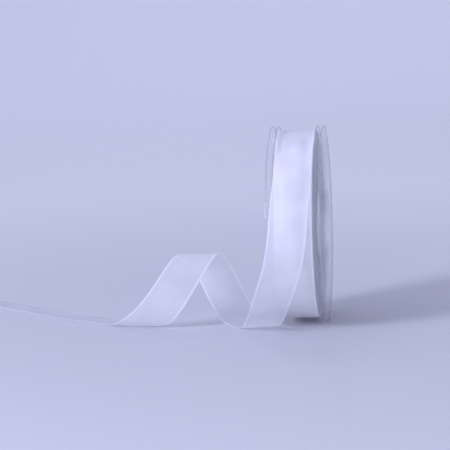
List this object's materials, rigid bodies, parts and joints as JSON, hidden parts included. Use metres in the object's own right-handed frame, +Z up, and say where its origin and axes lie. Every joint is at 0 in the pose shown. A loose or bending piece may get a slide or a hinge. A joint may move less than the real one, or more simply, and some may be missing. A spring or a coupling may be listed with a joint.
{
  "type": "roll of ribbon on a clear plastic spool",
  "caption": "Sheer white woven ribbon wound on a clear spool with double flanges, standing on its rims, its loose end in a loop along the surface.",
  "frame": {"origin": "on the surface that the roll stands on, in the middle of the ground that the whole thing covers", "axes": "+Z up, +X along the spool's axis away from the loose end, -Y the side where the loose end leaves the roll"},
  "size_m": [0.272, 0.1712, 0.1358],
  "materials": {
    "spool_plastic": "clear moulded polystyrene, polished, with bright rims",
    "ribbon_cloth": "sheer white woven polyester with a soft sheen and a denser woven selvage along both edges"
  },
  "bodies": {
    "root": {"spool_end_left": "spool_plastic", "spool_end_right": "spool_plastic", "ribbon_roll": "ribbon_cloth", "ribbon_loose_end": "ribbon_cloth"}
  },
  "joints": []
}
